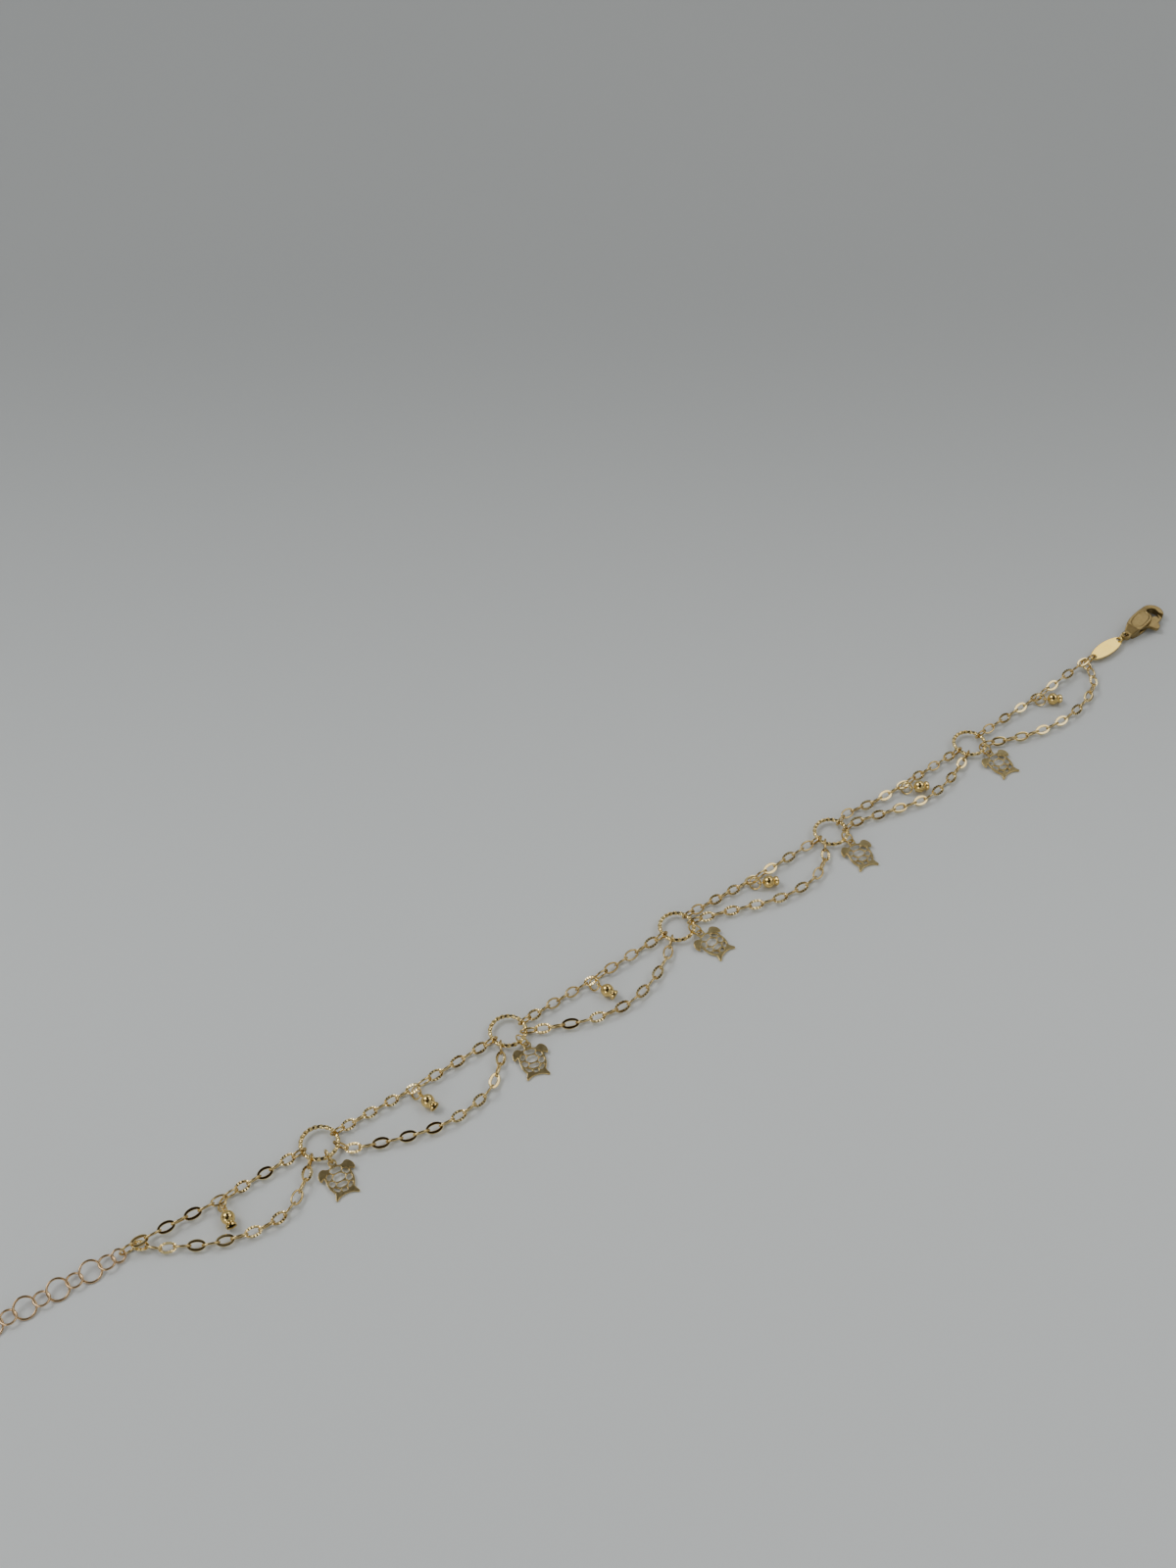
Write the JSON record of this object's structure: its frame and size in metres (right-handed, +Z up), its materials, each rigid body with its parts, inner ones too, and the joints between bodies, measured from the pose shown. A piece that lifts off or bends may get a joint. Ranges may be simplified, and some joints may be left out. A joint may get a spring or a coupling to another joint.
{
  "type": "charm anklet",
  "caption": "Double-strand cable chain anklet with twisted wire rings, pierced turtle charms, bead drops, extender chain, oval tag and lobster clasp.",
  "frame": {"origin": "middle of the anklet's footprint, on the surface that it lies on", "axes": "+X along the open anklet towards the clasp, +Y across it away from the turtle charms, +Z up"},
  "size_m": [0.2528, 0.0164, 0.0026],
  "materials": {
    "chain_gold": "polished and diamond-cut gold chain",
    "twist_gold": "polished twisted wire",
    "bead_gold": "mirror-polished beads",
    "charm_gold": "satin pierced charms with bright edges",
    "plate_gold": "polished plate",
    "clasp_gold": "cast and tumbled gold",
    "rose_gold": "polished round wire, a little rosier"
  },
  "bodies": {
    "anklet": {"bead_drop_1": "bead_gold", "bead_drop_2": "bead_gold", "bead_drop_3": "bead_gold", "bead_drop_4": "bead_gold", "bead_drop_5": "bead_gold", "bead_drop_6": "bead_gold", "clasp_body": "clasp_gold", "clasp_pin": "clasp_gold", "clasp_ring": "plate_gold", "drop_ring_1": "bead_gold", "drop_ring_2": "bead_gold", "drop_ring_3": "bead_gold", "drop_ring_4": "bead_gold", "drop_ring_5": "bead_gold", "drop_ring_6": "bead_gold", "extender_chain": "rose_gold", "lower_strand_1": "chain_gold", "lower_strand_2": "chain_gold", "lower_strand_3": "chain_gold", "lower_strand_4": "chain_gold", "lower_strand_5": "chain_gold", "lower_strand_6": "chain_gold", "strand_link": "chain_gold", "tag_link": "chain_gold", "tag_plate": "plate_gold", "turtle_charm_1": "charm_gold", "turtle_charm_2": "charm_gold", "turtle_charm_3": "charm_gold", "turtle_charm_4": "charm_gold", "turtle_charm_5": "charm_gold", "turtle_ring_1": "charm_gold", "turtle_ring_2": "charm_gold", "turtle_ring_3": "charm_gold", "turtle_ring_4": "charm_gold", "turtle_ring_5": "charm_gold", "twisted_ring_1": "twist_gold", "twisted_ring_2": "twist_gold", "twisted_ring_3": "twist_gold", "twisted_ring_4": "twist_gold", "twisted_ring_5": "twist_gold", "upper_strand_1": "chain_gold", "upper_strand_2": "chain_gold", "upper_strand_3": "chain_gold", "upper_strand_4": "chain_gold", "upper_strand_5": "chain_gold", "upper_strand_6": "chain_gold"},
    "lever": {"clasp_lever": "clasp_gold"}
  },
  "joints": [
    {"name": "clasp_lever_turn", "type": "hinge", "parent": "anklet", "child": "lever", "pos_m": [0.11996, 0.0052, 0.001], "axis": [0, 0, 1], "range_deg": [0, 20], "stiffness_Nm_per_rad": 0.00002}
  ]
}
